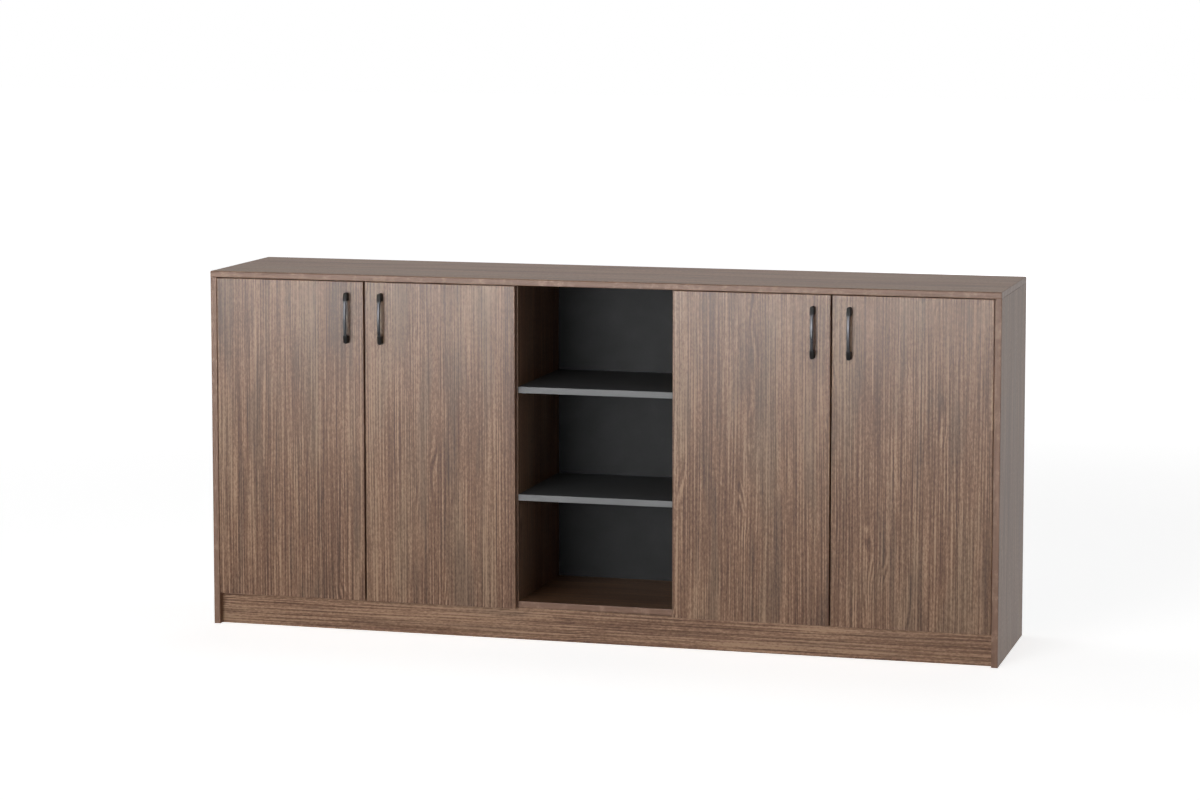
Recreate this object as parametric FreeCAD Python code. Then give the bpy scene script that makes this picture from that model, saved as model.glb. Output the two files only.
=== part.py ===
import FreeCAD, Part
import os

Vec = FreeCAD.Vector
X = Vec(1, 0, 0)
Y = Vec(0, 1, 0)
Z = Vec(0, 0, 1)

# All lengths are in millimetres. X runs along the front, Y from front to back, Z up from the floor.
# The origin lies on the floor, in the middle of the whole footprint with the handles.

# Boards of the carcass
carcass_width = 2000.0
carcass_depth = 400.0
carcass_height = 900.0
board = 16.0
plinth_height = 80.0
centre_opening = 400.0
partition_reveal = 3.0
edge_radius = 1.5
top_edge_radius = 3.0
back_thickness = 4.0
back_inset = 21.0
groove_depth = 5.0
groove_clearance = 0.2

# Doors and the gaps around them
door_side_gap = 1.0
door_meeting_gap = 4.0
door_top_gap = 1.5
door_back_gap = 1.5
door_bottom_lap = 1.0
buffer_radius = 4.0
buffer_clearance = 0.3
buffer_from_gap = 30.0

# Shelves on pins
shelf_side_gap = 0.5
shelf_back_gap = 2.0
side_shelf_setback = 20.0
pin_radius = 2.5
pin_hole_depth = 7.0
pin_peg_clearance = 0.05
pin_head_radius = 4.0
pin_head_length = 8.0
pin_edge_distance = 37.0

# Cam locks that join the boards
cam_radius = 7.5
cam_depth = 12.5
cam_edge_distance = 24.0
cam_clearance = 0.1
bolt_radius = 3.0
bolt_reach = 11.0
upright_cam_shares = (0.18, 0.82)
side_bottom_cam_shares = (0.18, 0.82)
centre_bottom_cam_shares = (0.36, 0.64)

# Screws through the back panels into the bottom panels
back_screw_radius = 1.5
back_screw_length = 16.0
back_screw_head_radius = 3.5
back_screw_head_height = 2.0
side_back_screw_shares = (0.08, 0.5, 0.92)
centre_back_screw_shares = (0.2, 0.8)
screw_clearance = 0.05

# Bow handles
handle_projection = 22.0
handle_length = 128.0
handle_hole_spacing = 96.0
handle_from_gap = 44.5
handle_below_top = 27.0
handle_bar_width = 7.0
handle_bar_thickness = 5.0
handle_end_height = 14.0
handle_foot_width = 10.5
handle_foot_length = 20.0
handle_neck_length = 4.0
handle_edge_radius = 1.5
handle_screw_radius = 2.0
handle_screw_reach = 8.0
handle_screw_head_radius = 4.5
handle_screw_head_height = 2.2

# Concealed hinges, placed in the plan of the door's hinge corner: u runs along the door from its
# hinge edge, v runs back from its front face
hinge_from_door_end = 100.0
cup_radius = 17.5
cup_from_edge = 4.5
cup_depth = 12.0
cup_wall = 1.0
cup_clearance = 0.1
flange_thickness = 1.0
flange_rim = 2.0
flange_screw_spacing = 48.0
flange_screw_offset = 7.0
flange_lobe_radius = 6.5
cup_screw_radius = 1.75
cup_screw_length = 11.0
cup_screw_head_radius = 3.5
cup_screw_head_height = 1.8
arm_pin_u = 22.0
arm_pin_v = 22.0
cup_pin_u = 24.0
cup_pin_v = 9.0
hinge_pin_radius = 2.0
hinge_running_clearance = 0.05
link_boss_radius = 3.2
link_waist = 2.2
carrier_half_width = 5.4
link_side_gap = 0.3
swing_tine = 2.5
ear_thickness = 2.0
arm_nose_radius = 3.5
arm_cheek = 1.5
arm_tail_height = 7.0
arm_crank_start = 30.0
arm_crank_end = 44.0
arm_tail_end = 76.0
plate_from_front = 37.0
plate_thickness = 2.5
plate_length = 52.0
plate_width = 12.0
plate_rib_length = 28.0
plate_rib_gap = 0.5
plate_corner_radius = 4.0
plate_screw_spacing = 32.0
plate_screw_radius = 2.0
plate_screw_length = 12.0
plate_screw_head_radius = 4.0
plate_screw_head_height = 1.5

# Cross recesses in screw heads and cam locks
recess_width = 1.0
recess_depth = 1.0
recess_reach_share = 0.55

# Reach of a cutter past the face that it cuts through, and the slack for edges matched to a plane
overrun = 1.0
match_slack = 0.001

# Main planes
half_width = carcass_width / 2
front = (handle_projection - carcass_depth) / 2
rear = front + carcass_depth
top_under = carcass_height - board
door_thickness = board
carcass_front = front + door_thickness + door_back_gap
side_face = half_width - board
bay_face = centre_opening / 2 - partition_reveal
bay_back_face = bay_face + board
back_front = rear - back_inset - back_thickness
back_rear = rear - back_inset
bottom_top = plinth_height + board
bay_clear_height = (top_under - bottom_top - 2 * board) / 3
lower_shelf_under = bottom_top + bay_clear_height
upper_shelf_under = lower_shelf_under + board + bay_clear_height
shelf_back = back_front - shelf_back_gap

# Doors: each has its hinge edge, the way it runs from there, and the upright that carries it
door_bottom = plinth_height - door_bottom_lap
door_top = top_under - door_top_gap
outer_edge = side_face - door_side_gap
inner_edge = centre_opening / 2
door_width = (outer_edge - inner_edge - door_meeting_gap) / 2
meeting_line = (outer_edge + inner_edge) / 2
doors = {
    "left_outer": {"edge": -outer_edge, "way": 1, "upright_u": -door_side_gap},
    "left_inner": {"edge": -inner_edge, "way": -1, "upright_u": board - partition_reveal},
    "right_inner": {"edge": inner_edge, "way": 1, "upright_u": board - partition_reveal},
    "right_outer": {"edge": outer_edge, "way": -1, "upright_u": -door_side_gap},
}
hinge_heights = (door_bottom + hinge_from_door_end, door_top - hinge_from_door_end)
handle_middle = door_top - handle_below_top - handle_length / 2

# Hinge pivots in plan. The door turns about the centre of its rounded hinge corner. The links stay
# parallel to the lines from that centre to the arm pin and the cup pin, so all pins keep their distances.
turn_centre = Vec(edge_radius, edge_radius, 0)
arm_pin = Vec(arm_pin_u, arm_pin_v, 0)
cup_pin = Vec(cup_pin_u, cup_pin_v, 0)
link_pin = arm_pin + cup_pin - turn_centre
cup_u = cup_from_edge + cup_radius
swing_inner = carrier_half_width + link_side_gap
swing_half_width = swing_inner + swing_tine
arm_inner = swing_half_width + link_side_gap
arm_half_width = arm_inner + arm_cheek
plate_v = door_thickness + door_back_gap + plate_from_front


def block(x0, x1, y0, y1, z0, z1):
    """Box between two values on each axis."""
    return Part.makeBox(x1 - x0, y1 - y0, z1 - z0, Vec(x0, y0, z0))


def rod(start, axis, length, radius):
    """Round bar from a start point along an axis."""
    return Part.makeCylinder(radius, length, start, axis)


def slab(points, low, high):
    """Plate with the given outline, from one height to another."""
    outline = Part.makePolygon(points + [points[0]])
    outline.translate(Z * low)
    return Part.Face(outline).extrude(Z * (high - low))


def joined(shapes):
    """One solid out of several that meet."""
    return shapes[0].fuse(shapes[1:]).removeSplitter().Solids[0]


def without(shape, cutters):
    """The solid left after all cutters are taken away."""
    return shape.cut(cutters).removeSplitter().Solids[0]


def on_plane(edge, axis, value):
    """Whether an edge lies in the plane where one coordinate has the value."""
    return all(abs(getattr(v.Point, axis) - value) < match_slack for v in edge.Vertexes)


def eased(shape, planes, radius):
    """Shape with a rounded arris wherever an edge lies in both planes of a pair."""
    edges = []
    for first, second in planes:
        for edge in shape.Edges:
            if on_plane(edge, *first) and on_plane(edge, *second):
                edges.append(edge)
    return shape.makeFillet(radius, edges)


def cross_recess(face, axis, head_radius):
    """Two crossing slots sunk into the middle of a head whose outer face looks along the axis."""
    first, second = [way for way in (X, Y, Z) if abs(way.dot(axis)) < match_slack]
    slots = []
    for run, side in ((first, second), (second, first)):
        half = run * (head_radius * recess_reach_share) + side * (recess_width / 2)
        corners = (face + axis * overrun - half, face - axis * recess_depth + half)
        ends = []
        for letter in "xyz":
            ends += sorted(getattr(corner, letter) for corner in corners)
        slots.append(block(*ends))
    return slots


def screw(start, axis, length, radius, head_height, head_radius):
    """Screw whose head stands on the start point along the axis, its shank the other way."""
    shank = rod(start, axis * -1, length, radius)
    head = rod(start, axis, head_height, head_radius)
    return without(joined([shank, head]), cross_recess(start + axis * head_height, axis, head_radius))


def screw_hole(start, axis, length, radius):
    """Cutter for the hole of a screw whose head stands on the start point along the axis."""
    return rod(start + axis * overrun, axis * -1, length + overrun, radius + screw_clearance)


def write(name, solids):
    """One file for one node, holding its solids apart."""
    whole = solids[0] if len(solids) == 1 else Part.makeCompound(solids)
    whole.exportStep("parts/" + name + ".step")


def along(low, high, shares):
    """Places between two values at the given shares of the way."""
    return [low + (high - low) * share for share in shares]


# Carcass


def pin_places(shelf_front):
    """Depths of the two pins on each side of a shelf."""
    return (shelf_front + pin_edge_distance, shelf_back - pin_edge_distance)


def pin_hole(face_x, inward, y, shelf_under):
    """Blind hole in an upright for one shelf pin. Inward points out of the upright's face."""
    start = Vec(face_x + inward * overrun, y, shelf_under - pin_radius)
    return rod(start, X * -inward, pin_hole_depth + overrun, pin_radius + pin_peg_clearance)


def shelf_pin(face_x, inward, y, shelf_under):
    """Peg in the upright and a head with a flat for the shelf."""
    start = Vec(face_x - inward * pin_hole_depth, y, shelf_under - pin_radius)
    peg = rod(start, X * inward, pin_hole_depth + pin_head_length, pin_radius)
    head = rod(Vec(face_x, y, shelf_under - pin_radius), X * inward, pin_head_length, pin_head_radius)
    reach = pin_head_radius + overrun
    ends = sorted((face_x - inward * overrun, face_x + inward * (pin_head_length + overrun)))
    over = block(ends[0], ends[1], y - reach, y + reach, shelf_under, shelf_under + reach)
    return without(joined([peg, head]), [over])


def bay_pins(left_face, right_face, shelf_front, make):
    """Holes or pins for both shelves of a bay, left side then right side."""
    made = {-1: [], 1: []}
    for under in (lower_shelf_under, upper_shelf_under):
        for y in pin_places(shelf_front):
            made[1].append(make(left_face, 1, y, under))
            made[-1].append(make(right_face, -1, y, under))
    return made


def top_cam(face_x, inward, y):
    """Cam lock near the top of an upright, its bolt up into the top panel, and the cutters for both."""
    middle_x = face_x - inward * board / 2
    centre_z = top_under - cam_edge_distance
    disc = rod(Vec(face_x, y, centre_z), X * -inward, cam_depth, cam_radius)
    bolt = rod(Vec(middle_x, y, centre_z), Z, cam_edge_distance + bolt_reach, bolt_radius)
    pocket_start = Vec(face_x + inward * overrun, y, centre_z)
    pocket = rod(pocket_start, X * -inward, cam_depth + overrun, cam_radius + cam_clearance)
    way = rod(Vec(middle_x, y, centre_z), Z, cam_edge_distance + bolt_reach, bolt_radius + cam_clearance)
    recess = cross_recess(Vec(face_x, y, centre_z), X * inward, cam_radius)
    return {"cam": without(disc, [way] + recess), "bolt": bolt, "pocket": pocket, "way": way}


def bottom_cam(end_x, inward, y):
    """Cam lock under one end of a bottom panel, its bolt into the upright, and the cutters for both."""
    middle_z = plinth_height + board / 2
    centre_x = end_x + inward * cam_edge_distance
    disc = rod(Vec(centre_x, y, plinth_height), Z, cam_depth, cam_radius)
    bolt = rod(Vec(centre_x, y, middle_z), X * -inward, cam_edge_distance + bolt_reach, bolt_radius)
    pocket_start = Vec(centre_x, y, plinth_height - overrun)
    pocket = rod(pocket_start, Z, cam_depth + overrun, cam_radius + cam_clearance)
    way_radius = bolt_radius + cam_clearance
    way = rod(Vec(centre_x, y, middle_z), X * -inward, cam_edge_distance + bolt_reach, way_radius)
    recess = cross_recess(Vec(centre_x, y, plinth_height), Z * -1, cam_radius)
    return {"cam": without(disc, [way] + recess), "bolt": bolt, "pocket": pocket, "way": way}


def back_screw(x):
    """Screw through a back panel into the bottom panel, and its hole."""
    start = Vec(x, back_rear, plinth_height + board / 2)
    head = (back_screw_head_height, back_screw_head_radius)
    made = screw(start, Y, back_screw_length, back_screw_radius, *head)
    return {"screw": made, "hole": screw_hole(start, Y, back_screw_length, back_screw_radius)}


def groove(face_x, inward):
    """Cutter for the slot in an upright that takes the edge of a back panel."""
    ends = sorted((face_x + inward * overrun, face_x - inward * groove_depth))
    y0 = back_front - groove_clearance
    y1 = back_rear + groove_clearance
    return block(ends[0], ends[1], y0, y1, plinth_height - overrun, top_under + overrun)


def upright(x0, x1, y0, y1):
    """Standing board with its two front arrises rounded."""
    shape = block(x0, x1, y0, y1, 0, top_under)
    return eased(shape, [(("x", x0), ("y", y0)), (("x", x1), ("y", y0))], edge_radius)


def lying(x0, x1, y0, y1, z0):
    """Lying board with its two front arrises rounded."""
    shape = block(x0, x1, y0, y1, z0, z0 + board)
    return eased(shape, [(("z", z0), ("y", y0)), (("z", z0 + board), ("y", y0))], edge_radius)


def build_carcass(hinge_cutters):
    """Boards, shelves and their hardware."""
    bays = {
        "left": (-side_face, -bay_back_face, carcass_front + side_shelf_setback),
        "centre": (-bay_face, bay_face, carcass_front),
        "right": (bay_back_face, side_face, carcass_front + side_shelf_setback),
    }
    uprights = {
        "left_side_panel": upright(-half_width, -side_face, front, rear),
        "left_partition": upright(-bay_back_face, -bay_face, carcass_front, rear),
        "right_partition": upright(bay_face, bay_back_face, carcass_front, rear),
        "right_side_panel": upright(side_face, half_width, front, rear),
    }
    neighbours = {
        "left": ("left_side_panel", "left_partition"),
        "centre": ("left_partition", "right_partition"),
        "right": ("right_partition", "right_side_panel"),
    }
    cam_faces = {
        "left_side_panel": (-side_face, 1),
        "left_partition": (-bay_back_face, -1),
        "right_partition": (bay_back_face, 1),
        "right_side_panel": (side_face, -1),
    }
    cuts = {name: list(hinge_cutters[name]) for name in uprights}
    cams = []
    bolts = []
    screws = []
    top_cuts = []

    for name, (face_x, inward) in cam_faces.items():
        for y in along(carcass_front, back_front, upright_cam_shares):
            lock = top_cam(face_x, inward, y)
            cams.append(lock["cam"])
            bolts.append(lock["bolt"])
            cuts[name] += [lock["pocket"], lock["way"]]
            top_cuts.append(lock["way"])

    for bay, (x0, x1, shelf_front) in bays.items():
        left, right = neighbours[bay]
        cuts[left].append(groove(x0, 1))
        cuts[right].append(groove(x1, -1))
        holes = bay_pins(x0, x1, shelf_front, pin_hole)
        cuts[left] += holes[1]
        cuts[right] += holes[-1]
        pins = bay_pins(x0, x1, shelf_front, shelf_pin)
        write(bay + "_shelf_pins", pins[1] + pins[-1])

        for level, under in (("lower", lower_shelf_under), ("upper", upper_shelf_under)):
            shelf = lying(x0 + shelf_side_gap, x1 - shelf_side_gap, shelf_front, shelf_back, under)
            write(bay + "_" + level + "_shelf", [shelf])

        cam_shares = centre_bottom_cam_shares if bay == "centre" else side_bottom_cam_shares
        bottom_cuts = []
        for y in along(carcass_front, back_front, cam_shares):
            for end_x, inward, name in ((x0, 1, left), (x1, -1, right)):
                lock = bottom_cam(end_x, inward, y)
                cams.append(lock["cam"])
                bolts.append(lock["bolt"])
                bottom_cuts += [lock["pocket"], lock["way"]]
                cuts[name].append(lock["way"])

        screw_shares = centre_back_screw_shares if bay == "centre" else side_back_screw_shares
        panel_holes = []
        for x in along(x0, x1, screw_shares):
            made = back_screw(x)
            screws.append(made["screw"])
            panel_holes.append(made["hole"])
        bottom = lying(x0, x1, carcass_front, back_front, plinth_height)
        write(bay + "_bottom_panel", [without(bottom, bottom_cuts + panel_holes)])

        edge = groove_depth - groove_clearance
        sheet = block(x0 - edge, x1 + edge, back_front, back_rear, plinth_height, top_under + edge)
        write(bay + "_back_panel", [without(sheet, panel_holes)])
        top_cuts.append(block(x0 - groove_depth, x1 + groove_depth, back_front - groove_clearance,
                              back_rear + groove_clearance, top_under - overrun, top_under + groove_depth))

    plinth = block(-side_face, side_face, carcass_front, carcass_front + board, 0, plinth_height)
    write("plinth_board", [plinth])
    notch_front = carcass_front - overrun
    notch = block(-side_face, side_face, notch_front, carcass_front + board, -overrun, plinth_height)
    cuts["left_partition"].append(notch)
    cuts["right_partition"].append(notch)

    for name, shape in uprights.items():
        write(name, [without(shape, cuts[name])])

    top = block(-half_width, half_width, front, rear, top_under, carcass_height)
    sides = (("y", front), ("x", -half_width), ("x", half_width))
    top = eased(top, [(("z", carcass_height), side) for side in sides + (("y", rear),)], top_edge_radius)
    top = eased(top, [(("z", top_under), side) for side in sides], edge_radius)
    write("top_panel", [without(top, top_cuts)])
    write("cam_locks", cams)
    write("cam_bolts", bolts)
    write("back_panel_screws", screws)

    buffers = []
    for x in (-meeting_line, meeting_line):
        for side in (-1, 1):
            start = Vec(x + side * buffer_from_gap, carcass_front, plinth_height + board / 2)
            buffers.append(rod(start, Y * -1, door_back_gap - buffer_clearance, buffer_radius))
    write("door_buffers", buffers)


# Hinges, in the plan of the hinge corner and level with the middle of the hinge


def link_bar(start, end, low, high):
    """Flat link with a round boss at each pivot."""
    run = Vec(end - start).normalize()
    across = Vec(-run.y, run.x, 0) * link_waist
    waist = slab([start + across, end + across, end - across, start - across], low, high)
    bosses = [rod(place + Z * low, Z, high - low, link_boss_radius) for place in (start, end)]
    return joined([waist] + bosses)


def pivot(place, half_length, radius):
    """Upright pin or pin hole at a pivot."""
    return rod(place - Z * half_length, Z, 2 * half_length, radius)


def running_hole(place):
    """Cutter for a hole that turns on a pin."""
    return pivot(place, arm_half_width + overrun, hinge_pin_radius + hinge_running_clearance)


def tight_hole(place):
    """Cutter for a hole that holds its pin."""
    return pivot(place, arm_half_width + overrun, hinge_pin_radius)


def carrier_link():
    """Link from the cup pin to the link pin, which keeps its direction while the door swings."""
    bar = link_bar(cup_pin, link_pin, -carrier_half_width, carrier_half_width)
    return without(bar, [running_hole(cup_pin), running_hole(link_pin)])


def swing_link():
    """Forked link from the arm pin to the link pin, which turns with the door."""
    bar = link_bar(arm_pin, link_pin, -swing_half_width, swing_half_width)
    run = Vec(link_pin - arm_pin).normalize()
    across = Vec(-run.y, run.x, 0) * (link_boss_radius + overrun)
    begin = arm_pin + run * (link_boss_radius + link_side_gap)
    end = link_pin + run * (link_boss_radius + overrun)
    slot = slab([begin + across, end + across, end - across, begin - across], -swing_inner, swing_inner)
    return without(bar, [slot, running_hole(arm_pin), tight_hole(link_pin)])


def cup():
    """Round cup with a two-lobed flange and a pair of ears for its pin."""
    back = door_thickness
    floor = back - cup_depth
    rim = cup_radius - cup_wall
    centre = Vec(cup_u, floor, 0)
    shell = rod(centre, Y, cup_depth + flange_thickness, cup_radius)
    collar = rod(Vec(cup_u, back, 0), Y, flange_thickness, cup_radius + flange_rim)
    lobes = []
    for side in (-1, 1):
        place = Vec(cup_u + flange_screw_offset, back, side * flange_screw_spacing / 2)
        lobes.append(rod(place, Y, flange_thickness, flange_lobe_radius))
    left = cup_u + flange_screw_offset - flange_lobe_radius
    right = cup_u + flange_screw_offset + flange_lobe_radius
    reach = flange_screw_spacing / 2
    bridge = block(left, right, back, back + flange_thickness, -reach, reach)
    hollow = rod(Vec(cup_u, floor + cup_wall, 0), Y, cup_depth + overrun, rim)
    holes = []
    for place in cup_screw_places():
        top = place + Y * flange_thickness
        holes.append(screw_hole(top, Y, flange_thickness + overrun, cup_screw_radius))
    dish = without(joined([shell, collar, bridge] + lobes), [hollow] + holes)
    ears = []
    for low in (-swing_inner - ear_thickness, swing_inner):
        round_top = rod(cup_pin + Z * low, Z, ear_thickness, link_boss_radius)
        u0 = cup_pin.x - link_boss_radius
        u1 = cup_pin.x + link_boss_radius
        foot = block(u0, u1, floor + cup_wall, cup_pin.y, low, low + ear_thickness)
        ears.append(joined([round_top, foot]))
    return without(joined([dish] + ears), [tight_hole(cup_pin)])


def cup_screw_places():
    """Points on the door's back where the cup screws go in."""
    u = cup_u + flange_screw_offset
    return [Vec(u, door_thickness, side * flange_screw_spacing / 2) for side in (-1, 1)]


def cup_screws():
    """Two short screws through the flange."""
    made = []
    for place in cup_screw_places():
        start = place + Y * flange_thickness
        head = (cup_screw_head_height, cup_screw_head_radius)
        made.append(screw(start, Y, cup_screw_length, cup_screw_radius, *head))
    return made


def door_hinge_cutters():
    """Bore for the cup and holes for its screws in the door's back."""
    start = Vec(cup_u, door_thickness + overrun, 0)
    cutters = [rod(start, Y * -1, cup_depth + overrun, cup_radius + cup_clearance)]
    for place in cup_screw_places():
        cutters.append(screw_hole(place, Y, cup_screw_length - flange_thickness, cup_screw_radius))
    return cutters


def arm(upright_u):
    """Cranked channel from the plate to the arm pin, open towards the upright."""
    low = upright_u + plate_thickness
    high = low + arm_tail_height
    inside = arm_pin.x - arm_nose_radius
    outside = arm_pin.x + arm_nose_radius
    points = [
        Vec(inside, arm_pin.y, 0),
        Vec(outside, arm_pin.y, 0),
        Vec(outside, arm_crank_start, 0),
        Vec(high, arm_crank_end, 0),
        Vec(high, arm_tail_end, 0),
        Vec(low, arm_tail_end, 0),
        Vec(low, arm_crank_end, 0),
        Vec(inside, arm_crank_start, 0),
    ]
    nose = rod(arm_pin - Z * arm_half_width, Z, 2 * arm_half_width, arm_nose_radius)
    body = joined([slab(points, -arm_half_width, arm_half_width), nose])
    inner = [point - X * arm_cheek for point in points]
    inner[4] = inner[4] + Y * overrun
    inner[5] = inner[5] + Y * overrun - X * overrun
    inner[6] = inner[6] - X * overrun
    inner[7] = inner[7] - X * overrun
    inner[0] = inner[0] - X * overrun
    channel = slab(inner, -arm_inner, arm_inner)
    mouth_start = arm_pin.y - arm_nose_radius - overrun
    mouth = block(inside - overrun, outside + overrun, mouth_start, arm_crank_start, -arm_inner, arm_inner)
    return without(body, [channel, mouth, tight_hole(arm_pin), arm_screw(upright_u)["hole"]])


def arm_screw(upright_u):
    """Screw through the arm into the rib of the plate, and its hole."""
    start = Vec(upright_u + plate_thickness + arm_tail_height, plate_v, 0)
    head = (plate_screw_head_height, plate_screw_head_radius)
    made = screw(start, X, arm_tail_height, plate_screw_radius, *head)
    return {"screw": made, "hole": screw_hole(start, X, arm_tail_height, plate_screw_radius)}


def plate(upright_u):
    """Winged plate on the upright with a rib that fills the arm."""
    half = plate_length / 2
    wide = plate_width / 2
    base = block(upright_u, upright_u + plate_thickness, plate_v - wide, plate_v + wide, -half, half)
    corners = [edge for edge in base.Edges if abs(edge.BoundBox.XLength - plate_thickness) < match_slack]
    base = base.makeFillet(plate_corner_radius, corners)
    rib_half = arm_inner - plate_rib_gap
    rib_top = upright_u + plate_thickness + arm_tail_height - arm_cheek
    rib = block(upright_u, rib_top, plate_v - wide, plate_v - wide + plate_rib_length, -rib_half, rib_half)
    holes = [arm_screw(upright_u)["hole"]] + [made["hole"] for made in plate_screws(upright_u)]
    return without(joined([base, rib]), holes)


def plate_screws(upright_u):
    """Two screws through the wings into the upright, and their holes."""
    made = []
    for side in (-1, 1):
        start = Vec(upright_u + plate_thickness, plate_v, side * plate_screw_spacing / 2)
        head = (plate_screw_head_height, plate_screw_head_radius)
        fixing = screw(start, X, plate_screw_length, plate_screw_radius, *head)
        made.append({"screw": fixing, "hole": screw_hole(start, X, plate_screw_length, plate_screw_radius)})
    return made


def placed(shape, door, height):
    """Hinge piece moved from its plan to its door and height."""
    moved = shape.copy()
    if door["way"] < 0:
        moved = moved.mirror(Vec(0, 0, 0), X)
    moved.translate(Vec(door["edge"], front, height))
    return moved


def at_hinges(shapes, door):
    """Copies of the shapes at both hinges of a door."""
    return [placed(shape, door, height) for height in hinge_heights for shape in shapes]


# Doors and handles


def handle():
    """Bow handle standing on the plane y = 0 towards the front, its middle at the origin."""
    half = handle_length / 2
    wide = handle_foot_width / 2
    thin = handle_bar_width / 2
    rise = handle_projection - handle_end_height
    bow_radius = (half * half + rise * rise) / (2 * rise)
    bow_centre = Vec(0, bow_radius - handle_projection, 0)
    outer = rod(bow_centre - X * wide, X, handle_foot_width, bow_radius)
    trim = block(-wide, wide, -handle_projection, 0, -half, half)
    side_shape = outer.common(trim)
    gap_half = half - handle_foot_length
    inner = rod(bow_centre - X * (wide + overrun), X, handle_foot_width + 2 * overrun,
                bow_radius - handle_bar_thickness)
    window = block(-wide - overrun, wide + overrun, -handle_projection, overrun, -gap_half, gap_half)
    side_shape = side_shape.cut(inner.common(window))
    outline = [block(-thin, thin, -handle_projection, 0, -gap_half, gap_half)]
    for side in (-1, 1):
        tip = side * (half - wide)
        shoulder = side * gap_half
        neck = side * (gap_half - handle_neck_length)
        outline.append(rod(Vec(0, 0, tip), Y * -1, handle_projection, wide))
        low, high = sorted((tip, shoulder))
        outline.append(block(-wide, wide, -handle_projection, 0, low, high))
        points = [Vec(-wide, 0, shoulder), Vec(wide, 0, shoulder), Vec(thin, 0, neck), Vec(-thin, 0, neck)]
        wedge = Part.Face(Part.makePolygon(points + [points[0]])).extrude(Y * -handle_projection)
        outline.append(wedge)
    shape = side_shape.common(joined(outline)).removeSplitter().Solids[0]
    arrises = []
    for edge in shape.Edges:
        middle = edge.valueAt((edge.FirstParameter + edge.LastParameter) / 2)
        if abs((middle - bow_centre).cross(X).Length - bow_radius) < match_slack:
            arrises.append(edge)
    shape = shape.makeFillet(handle_edge_radius, arrises)
    return without(shape, [made["hole"] for made in handle_screws()])


def handle_screws():
    """Two screws from the door's back into the feet of a handle on the plane y = 0, and their holes."""
    made = []
    for side in (-1, 1):
        start = Vec(0, door_thickness, side * handle_hole_spacing / 2)
        length = door_thickness + handle_screw_reach
        head = (handle_screw_head_height, handle_screw_head_radius)
        fixing = screw(start, Y, length, handle_screw_radius, *head)
        made.append({"screw": fixing, "hole": screw_hole(start, Y, length, handle_screw_radius)})
    return made


def build_door(name, door):
    """Door with its handle, cups and screws."""
    free_edge = door["edge"] + door["way"] * door_width
    x0, x1 = sorted((door["edge"], free_edge))
    leaf = block(x0, x1, front, front + door_thickness, door_bottom, door_top)
    borders = (("x", x0), ("x", x1), ("z", door_bottom), ("z", door_top))
    leaf = eased(leaf, [(("y", front), border) for border in borders], edge_radius)
    side = 1 if door["edge"] > 0 else -1
    towards = -1 if abs(door["edge"]) < meeting_line else 1
    handle_x = side * (meeting_line + towards * handle_from_gap)
    handle_place = Vec(handle_x, front, handle_middle)

    pull = handle()
    pull.translate(handle_place)
    write(name + "_handle", [pull])
    screws = []
    holes = []
    for made in handle_screws():
        made["screw"].translate(handle_place)
        made["hole"].translate(handle_place)
        screws.append(made["screw"])
        holes.append(made["hole"])
    write(name + "_handle_screws", screws)

    holes += at_hinges(door_hinge_cutters(), door)
    write(name + "_door", [without(leaf, holes)])
    ear_end = swing_inner + ear_thickness
    write(name + "_hinge_cups", at_hinges([cup(), pivot(cup_pin, ear_end, hinge_pin_radius)], door))
    write(name + "_cup_screws", at_hinges(cup_screws(), door))
    write(name + "_carrier_links", at_hinges([carrier_link()], door))
    link_pins = pivot(link_pin, swing_half_width, hinge_pin_radius)
    write(name + "_swing_links", at_hinges([swing_link(), link_pins], door))
    arm_pins = pivot(arm_pin, arm_half_width, hinge_pin_radius)
    write(name + "_hinge_arms", at_hinges([arm(door["upright_u"]), arm_pins], door))


def build():
    """All nodes of the cupboard."""
    os.makedirs("parts", exist_ok=True)
    plates = []
    plate_fixings = []
    cutters = {}
    carriers = {
        "left_outer": "left_side_panel",
        "left_inner": "left_partition",
        "right_inner": "right_partition",
        "right_outer": "right_side_panel",
    }
    for name, door in doors.items():
        build_door(name, door)
        upright_u = door["upright_u"]
        fixings = plate_screws(upright_u)
        plates += at_hinges([plate(upright_u)], door)
        plate_fixings += at_hinges([made["screw"] for made in fixings], door)
        plate_fixings += at_hinges([arm_screw(upright_u)["screw"]], door)
        cutters[carriers[name]] = at_hinges([made["hole"] for made in fixings], door)
    write("hinge_plates", plates)
    write("hinge_plate_screws", plate_fixings)
    build_carcass(cutters)


build()
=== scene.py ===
import math

import bpy
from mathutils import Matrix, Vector


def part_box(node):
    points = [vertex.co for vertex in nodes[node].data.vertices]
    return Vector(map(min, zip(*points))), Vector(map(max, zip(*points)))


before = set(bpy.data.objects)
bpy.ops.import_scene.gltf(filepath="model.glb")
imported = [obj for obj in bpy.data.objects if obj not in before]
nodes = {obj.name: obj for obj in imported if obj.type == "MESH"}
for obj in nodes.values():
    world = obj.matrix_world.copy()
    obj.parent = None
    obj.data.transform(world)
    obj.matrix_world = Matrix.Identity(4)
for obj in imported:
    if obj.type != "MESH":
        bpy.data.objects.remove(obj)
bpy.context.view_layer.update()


def tone(red, green, blue):
    """Screen colour from 0 to 255 as the linear colour that a shader takes."""
    linear = []
    for part in (red, green, blue):
        part /= 255
        linear.append(part / 12.92 if part <= 0.04045 else ((part + 0.055) / 1.055) ** 2.4)
    return (*linear, 1.0)


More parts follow.
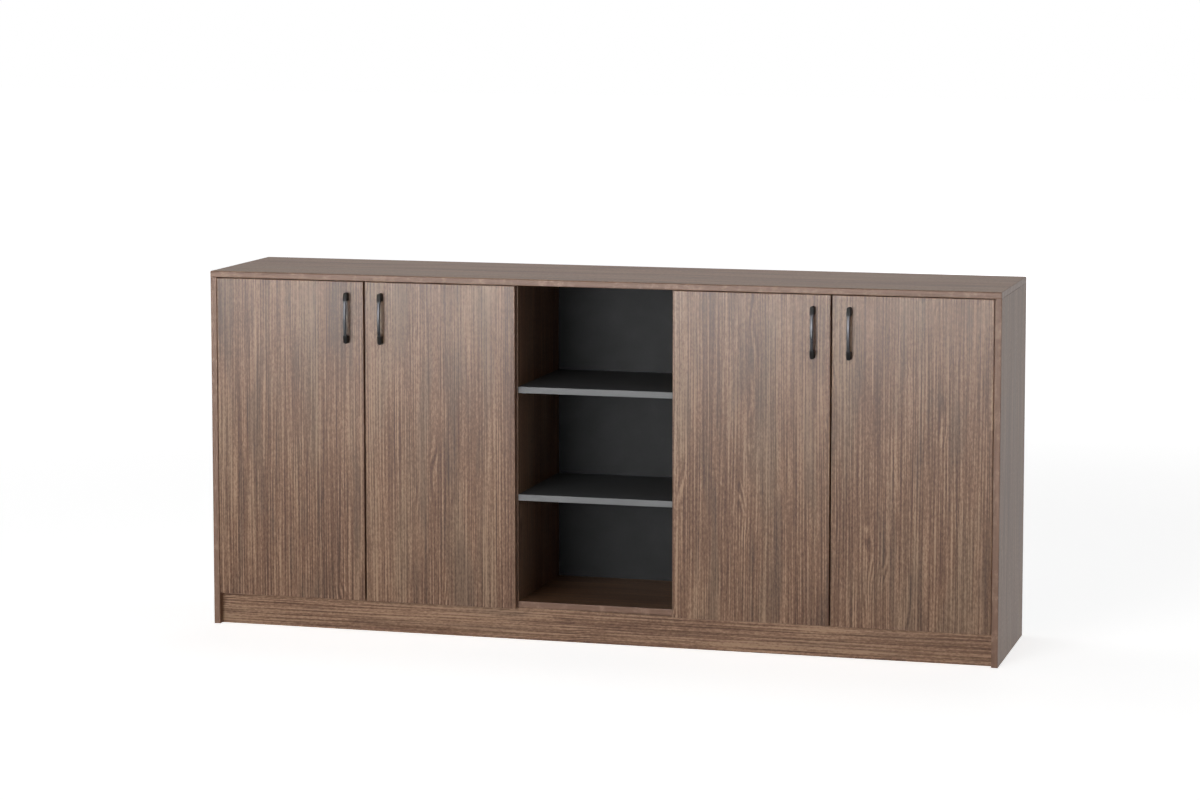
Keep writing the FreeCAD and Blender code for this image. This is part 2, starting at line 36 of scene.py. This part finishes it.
class Value:
    """A socket of one node. Sums on it add Math nodes."""

    def __init__(self, finish, socket):
        self.finish = finish
        self.socket = socket

    def math(self, operation, *others):
        terms = dict(enumerate((self, *others)))
        return self.finish.node("ShaderNodeMath", {"operation": operation}, terms)

    def __add__(self, other):
        return self.math("ADD", other)

    __radd__ = __add__

    def __sub__(self, other):
        return self.math("SUBTRACT", other)

    def __rsub__(self, other):
        return self.finish.node("ShaderNodeMath", {"operation": "SUBTRACT"}, {0: other, 1: self})

    def __mul__(self, other):
        return self.math("MULTIPLY", other)

    __rmul__ = __mul__

    def __abs__(self):
        return self.math("ABSOLUTE")


class Nodes:
    """The nodes of one material or of the surroundings."""

    def __init__(self, tree):
        self.tree = tree

    def node(self, kind, settings=None, inputs=None, output=0):
        made = self.tree.nodes.new(kind)
        for key, value in (settings or {}).items():
            if key == "stops":
                for stop in range(len(value) - 2):
                    made.color_ramp.elements.new(0.5)
                for element, (place, colour) in zip(made.color_ramp.elements, value):
                    element.position = place
                    element.color = colour
            else:
                setattr(made, key, value)
        self.fill(made, inputs or {})
        return Value(self, made.outputs[output])

    def fill(self, made, inputs):
        for key, value in inputs.items():
            if isinstance(value, Value):
                self.tree.links.new(value.socket, made.inputs[key])
            else:
                made.inputs[key].default_value = value

    def place(self, output="Object"):
        return self.node("ShaderNodeTexCoord", output=output)

    def part(self, vector, axis):
        return self.node("ShaderNodeSeparateXYZ", None, {0: vector}, output="XYZ".index(axis))

    def scaled(self, vector, scale, shift=(0, 0, 0)):
        inputs = {"Vector": vector, "Scale": scale, "Location": shift}
        return self.node("ShaderNodeMapping", None, inputs)

    def noise(self, vector, scale, detail=2.0, roughness=0.5):
        inputs = {"Vector": vector, "Scale": scale, "Detail": detail, "Roughness": roughness}
        return self.node("ShaderNodeTexNoise", None, inputs)

    def between(self, value, low, high):
        inputs = {"Value": value, "From Min": low, "From Max": high}
        return self.node("ShaderNodeMapRange", {"interpolation_type": "SMOOTHSTEP"}, inputs)

    def ramp(self, value, stops):
        return self.node("ShaderNodeValToRGB", {"stops": stops}, {0: value})

    def blend(self, factor, first, second):
        inputs = {0: factor, 6: first, 7: second}
        return self.node("ShaderNodeMix", {"data_type": "RGBA"}, inputs, output=2)

    def bump(self, height, strength, distance):
        inputs = {"Height": height, "Strength": strength, "Distance": distance}
        return self.node("ShaderNodeBump", None, inputs)

    def seen_ray(self):
        """One for a ray from the camera, off a gloss or through a clear piece, nought for other rays."""
        names = ("Is Camera Ray", "Is Glossy Ray", "Is Transmission Ray")
        camera_ray, glossy_ray, clear_ray = [self.node("ShaderNodeLightPath", output=name) for name in names]
        return (camera_ray + glossy_ray + clear_ray).math("MINIMUM", 1.0)


class Finish(Nodes):
    """One material."""

    def __init__(self, name):
        self.material = bpy.data.materials.new(name)
        self.material.use_nodes = True
        super().__init__(self.material.node_tree)

    def surface(self, **inputs):
        shader = self.tree.nodes["Principled BSDF"]
        self.fill(shader, {key.replace("_", " "): value for key, value in inputs.items()})


# Brown wood decor: fine light and dark lines along the grain, grey bands, smoky zones and flame marks

# Stretch along the grain, noise scale, detail and roughness of each kind of streak
streak_kinds = {
    "lines": (110, 330, 2.0, 0.7),
    "strands": (60, 80, 2.0, 0.6),
    "bands": (7, 13, 2.0, 0.5),
    "pores": (2.6, 300, 1.0, 0.6),
    "drift": (9, 7, 1.0, 0.4),
    "swirl": (4.5, 22, 1.0, 0.5),
    "flame_zones": (4, 22, 1.0, 0.5),
    "smoke": (9, 26, 2.0, 0.55),
}
wood_tones = {
    "warm": [(0.15, tone(75, 46, 30)), (0.5, tone(116, 84, 62)), (0.85, tone(161, 129, 103))],
    "grey": [(0.15, tone(69, 45, 30)), (0.5, tone(105, 79, 59)), (0.85, tone(147, 119, 95))],
    "smoke": [(0.2, tone(60, 41, 29)), (0.8, tone(116, 90, 70))],
    "edge_band": [(0.3, tone(108, 79, 62)), (0.7, tone(130, 100, 82))],
    # a paler tone for the arrises: painted highlight of the rounded edges catching light
    "highlight_tone": [(0.3, tone(128, 98, 80)), (0.7, tone(156, 128, 108))],
}
pin_stripe_turns = 820  # radians per metre across the grain
flame_turns = 700
arris_width = 0.0025
board_sheen = 0.26  # roughness before the lines add to it
edge_sheen = 0.36
duller_sheens = {"top_panel": 0.46, "left_side_panel": 0.38, "right_side_panel": 0.38}
plinth_painted_reflection = 0.12  # painted reflection of the white floor, which makes the plinth a little lighter than the doors
door_smoke = 0.65
carcass_smoke = 0.35


def grain_scale(grain, stretch):
    return tuple(1 / stretch if axis == grain else 1.0 for axis in "XYZ")


def painted_arris_highlight(finish, piece, face):
    """Above nought in patches along the outline of a board's broad faces: a painted highlight where the
    rounded arrises catch the light.
    """
    low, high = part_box(piece)
    place = finish.place()
    inside = None
    for index, axis in enumerate("XYZ"):
        if axis != face:
            middle = (low[index] + high[index]) / 2
            half = (high[index] - low[index]) / 2
            reach = half - abs(finish.part(place, axis) - middle)
            inside = reach if inside is None else inside.math("MINIMUM", reach)
    patches = finish.between(finish.noise(place, scale=45, detail=3.0), low=0.45, high=0.7)
    return finish.between(inside, low=arris_width, high=0.0) * patches * 0.7


def wood_decor(piece, grain, across, face, shift):
    finish = Finish(piece + "_wood")
    place = finish.scaled(finish.place(), (1, 1, 1), shift)

    def streaks(kind):
        stretch, scale, detail, roughness = streak_kinds[kind]
        return finish.noise(finish.scaled(place, grain_scale(grain, stretch)), scale, detail, roughness)

    lines = streaks("lines")
    strands = streaks("strands")
    bands = streaks("bands")
    pores = streaks("pores")
    across_grain = finish.part(place, across)
    pins = ((across_grain + streaks("drift") * 0.05) * pin_stripe_turns + strands * 10).math("SINE")
    flame = ((across_grain + streaks("swirl") * 0.06) * flame_turns).math("SINE")
    flame_marks = flame * finish.between(streaks("flame_zones"), low=0.62, high=0.72)
    # painted reflection: the plinth's tones are lifted for the white floor that it reflects
    painted_floor_reflection = plinth_painted_reflection if piece == "plinth_board" else 0.0
    light = pins * 0.10 + lines * 1.6 + strands * 0.3 + pores * 0.7 + bands * 0.7
    light = light - flame_marks * 0.22 + (painted_floor_reflection - 1.15)
    warm = finish.ramp(light, wood_tones["warm"])
    grey = finish.ramp(light, wood_tones["grey"])
    colour = finish.blend(finish.between(bands, low=0.5, high=0.7), warm, grey)
    smoke_depth = door_smoke if piece.endswith("door") else carcass_smoke
    smoke = finish.between(streaks("smoke"), low=0.5, high=0.68) * smoke_depth
    colour = finish.blend(smoke, colour, finish.ramp(light, wood_tones["smoke"]))
    facing = abs(finish.part(finish.place("Normal"), face))
    edge = finish.between(facing, low=0.9, high=0.5)
    colour = finish.blend(edge, colour, finish.ramp(strands, wood_tones["edge_band"]))
    # painted highlight: a paler tone in patches along the arrises
    highlight_tone = finish.ramp(pores, wood_tones["highlight_tone"])
    colour = finish.blend(painted_arris_highlight(finish, piece, face), colour, highlight_tone)
    sheen = duller_sheens.get(piece, board_sheen)
    finish.surface(
        Base_Color=colour,
        Roughness=sheen + edge * (min(sheen, edge_sheen) - sheen) + lines * 0.12,
        Specular_IOR_Level=0.33,
        Normal=finish.bump(lines * 0.6 + pores * 0.4, strength=0.15, distance=0.0004),
    )
    return finish.material


# Graphite decor of the shelves and back panels, with a lighter edge band that is a painted highlight of the
# rounded edges, and a darker copy on the back panels that is painted shade


def graphite_decor(name, edge_axis, dark, pale, gloss):
    finish = Finish(name)
    place = finish.place()
    speck = finish.noise(place, scale=1400)
    cloud = finish.noise(place, scale=14, detail=3.0)
    light = speck * 0.6 + cloud * 0.4
    colour = finish.ramp(light, [(0.3, dark), (0.7, pale)])
    # painted highlight: the lighter edge tone stands in for light on the rounded edges
    edge_band = finish.ramp(light, [(0.3, tone(104, 105, 106)), (0.7, tone(122, 123, 124))])
    facing = abs(finish.part(finish.place("Normal"), edge_axis))
    finish.surface(
        Base_Color=finish.blend(finish.between(facing, low=0.3, high=0.8), colour, edge_band),
        Roughness=0.52 + speck * 0.12,
        Specular_IOR_Level=gloss,
        Normal=finish.bump(speck, strength=0.15, distance=0.0003),
    )
    return finish.material


# Metals of the handles and fittings, and the plastic of the door buffers

foot_start = 0.0415  # from the handle's middle to where its bar turns into a foot
foot_full = 0.0455


def dark_handle_metal(middle_height):
    """Dark plated bar between black feet."""
    finish = Finish("dark_handle_metal")
    place = finish.place()
    grit = finish.noise(place, scale=1800)
    wear = finish.noise(place, scale=60, detail=3.0)
    from_middle = abs(finish.part(place, "Z") - middle_height)
    foot = finish.between(from_middle, low=foot_start, high=foot_full)
    bar_colour = finish.ramp(wear, [(0.35, tone(44, 45, 48)), (0.7, tone(58, 59, 61))])
    foot_colour = finish.ramp(wear, [(0.35, tone(20, 20, 20)), (0.7, tone(30, 30, 29))])
    finish.surface(
        Base_Color=finish.blend(foot, bar_colour, foot_colour),
        Metallic=0.9,
        Roughness=0.24 + wear * 0.10 + foot * 0.10,
        Normal=finish.bump(grit, strength=0.06, distance=0.0002),
    )
    return finish.material


def plated_metal(name, dark, pale, rough, brushed=(1, 1, 1)):
    finish = Finish(name)
    place = finish.place()
    marks = finish.noise(finish.scaled(place, brushed), scale=900)
    cloud = finish.noise(place, scale=90)
    finish.surface(
        Base_Color=finish.ramp(marks * 0.6 + cloud * 0.4, [(0.3, dark), (0.7, pale)]),
        Metallic=1.0,
        Roughness=rough + marks * 0.15,
        Normal=finish.bump(marks, strength=0.05, distance=0.0002),
    )
    return finish.material


def buffer_plastic():
    finish = Finish("buffer_plastic")
    cloud = finish.noise(finish.place(), scale=400)
    colour = finish.ramp(cloud, [(0.3, tone(196, 196, 192)), (0.7, tone(216, 216, 212))])
    finish.surface(Base_Color=colour, Roughness=0.3 + cloud * 0.1, Transmission_Weight=0.35)
    return finish.material


# Each finish on its pieces


def give(material, *names):
    for name in names:
        mesh = nodes[name].data
        mesh.materials.clear()
        mesh.materials.append(material)


# Grain axis, axis across the grain, axis of the broad face, and a shift that gives each board its own figure
wood_pieces = {
    "left_outer_door": ("Z", "X", "Y", (0.13, 0.0, 0.41)),
    "left_inner_door": ("Z", "X", "Y", (1.37, 0.4, 2.07)),
    "right_inner_door": ("Z", "X", "Y", (2.21, 0.8, 3.61)),
    "right_outer_door": ("Z", "X", "Y", (3.11, 1.2, 5.13)),
    "left_side_panel": ("Z", "Y", "X", (4.3, 1.6, 6.3)),
    "right_side_panel": ("Z", "Y", "X", (5.7, 2.0, 7.9)),
    "left_partition": ("Z", "Y", "X", (6.1, 2.4, 8.2)),
    "right_partition": ("Z", "Y", "X", (7.3, 2.8, 9.4)),
    "top_panel": ("X", "Y", "Z", (8.9, 3.2, 10.6)),
    "plinth_board": ("X", "Z", "Y", (9.1, 3.6, 11.8)),
    "left_bottom_panel": ("X", "Y", "Z", (10.7, 4.0, 12.1)),
    "centre_bottom_panel": ("X", "Y", "Z", (11.9, 4.4, 13.3)),
    "right_bottom_panel": ("X", "Y", "Z", (12.3, 4.8, 14.5)),
}
for name, (grain, across, face, shift) in wood_pieces.items():
    give(wood_decor(name, grain, across, face, shift), name)

bays = ("left", "centre", "right")
back_names = [bay + "_back_panel" for bay in bays]
shelf_names = [bay + piece for bay in bays for piece in ("_lower_shelf", "_upper_shelf")]
# the back panels take a darker copy of the graphite: painted shade deep in the bays
give(graphite_decor("graphite_sheet_painted_shade", "Z", tone(24, 25, 26), tone(42, 43, 44), gloss=0.16), *back_names)
give(graphite_decor("graphite_board", "Y", tone(56, 57, 58), tone(68, 69, 70), gloss=0.3), *shelf_names)

door_names = ("left_outer", "left_inner", "right_inner", "right_outer")
handle_low, handle_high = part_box("left_outer_handle")
handle_middle = (handle_low[2] + handle_high[2]) / 2
give(dark_handle_metal(handle_middle), *[door + "_handle" for door in door_names])

nickel = plated_metal("nickel_plate", tone(168, 167, 165), tone(200, 199, 197), 0.22, brushed=(1, 1, 0.2))
screw_zinc = plated_metal("screw_zinc", tone(158, 160, 164), tone(196, 198, 202), 0.28)
raw_zinc = plated_metal("raw_zinc", tone(132, 133, 134), tone(166, 167, 168), 0.42)
give(nickel, "hinge_plates", *[bay + "_shelf_pins" for bay in bays])
for piece in ("_hinge_cups", "_hinge_arms", "_swing_links", "_carrier_links"):
    give(nickel, *[door + piece for door in door_names])
give(screw_zinc, "hinge_plate_screws", "back_panel_screws", "cam_bolts")
for piece in ("_handle_screws", "_cup_screws"):
    give(screw_zinc, *[door + piece for door in door_names])
give(raw_zinc, "cam_locks")
give(buffer_plastic(), "door_buffers")


# Stage, light and camera

floor_half = 30
floor_grey = tone(240, 240, 240)
near_glow = 0.76  # glow of the seen floor at the object, rising to 1 farther off
glow_from, glow_to = 1.0, 6.0
room_light = 0.04


def grey_level(level):
    return (level, level, level, 1.0)


def pale_floor():
    finish = Finish("pale_floor")
    away = finish.node("ShaderNodeVectorMath", {"operation": "LENGTH"}, {0: finish.place()}, output=1)
    far = finish.between(away, low=glow_from, high=glow_to)
    glow = finish.ramp(far, [(0.0, grey_level(near_glow)), (1.0, grey_level(1.0))])
    finish.surface(
        Base_Color=floor_grey,
        Roughness=0.9,
        Specular_IOR_Level=0.0,
        Emission_Color=finish.blend(finish.seen_ray(), grey_level(0.0), glow),
        Emission_Strength=1.0,
    )
    return finish.material


floor_mesh = bpy.data.meshes.new("floor")
floor_corners = [(x * floor_half, y * floor_half, 0) for x, y in ((-1, -1), (1, -1), (1, 1), (-1, 1))]
floor_mesh.from_pydata(floor_corners, [], [(0, 1, 2, 3)])
floor_mesh.materials.append(pale_floor())
floor = bpy.data.objects.new("floor", floor_mesh)
bpy.context.scene.collection.objects.link(floor)

world = bpy.data.worlds.new("studio")
bpy.context.scene.world = world
world.use_nodes = True
air = Nodes(world.node_tree)
level = air.ramp(air.seen_ray(), [(0.0, grey_level(room_light)), (1.0, grey_level(1.0))])
air.fill(world.node_tree.nodes["Background"], {"Color": level, "Strength": 1.0})


def lamp(name, place, target, size, power, spread=180):
    data = bpy.data.lights.new(name, "AREA")
    data.shape = "RECTANGLE"
    data.size, data.size_y = size
    data.energy = power
    data.spread = math.radians(spread)
    made = bpy.data.objects.new(name, data)
    made.location = place
    made.rotation_euler = (Vector(target) - Vector(place)).to_track_quat("-Z", "Y").to_euler()
    bpy.context.scene.collection.objects.link(made)


lamp("left_softbox", place=(-2.1, -7.6, 1.8), target=(0.8, 0, 0.5), size=(3.5, 2.2), power=190)
lamp("front_strip", place=(-0.7, -3.7, 0.75), target=(0.1, 0, 0.74), size=(4.4, 0.22), power=12, spread=52)
lamp("overhead", place=(0, 0.7, 2.6), target=(0, 0.2, 0), size=(3.0, 0.9), power=12)
lamp("left_fill", place=(-5.5, -1.6, 1.0), target=(-0.5, -0.2, 0.5), size=(1.6, 1.2), power=30)
lamp("right_fill", place=(5.5, -1.6, 1.0), target=(0.5, -0.2, 0.5), size=(1.6, 1.2), power=18)
lamp("rear_strip", place=(0, 12.0, 0.55), target=(0, 0, 0.5), size=(1.6, 0.6), power=36, spread=40)

camera_place = (2.1693, -7.9372, 1.6997)
camera_dip = 0.0987  # radians below level
camera_turn = 0.2709

camera_data = bpy.data.cameras.new("camera")
camera_data.sensor_width = 36.0
camera_data.lens = 99.605
camera_data.shift_y = -0.1
camera_data.clip_end = 100
camera = bpy.data.objects.new("camera", camera_data)
camera.location = camera_place
camera.rotation_euler = (math.pi / 2 - camera_dip, 0, camera_turn)
bpy.context.scene.collection.objects.link(camera)
bpy.context.scene.camera = camera
bpy.context.scene.view_settings.view_transform = "Standard"
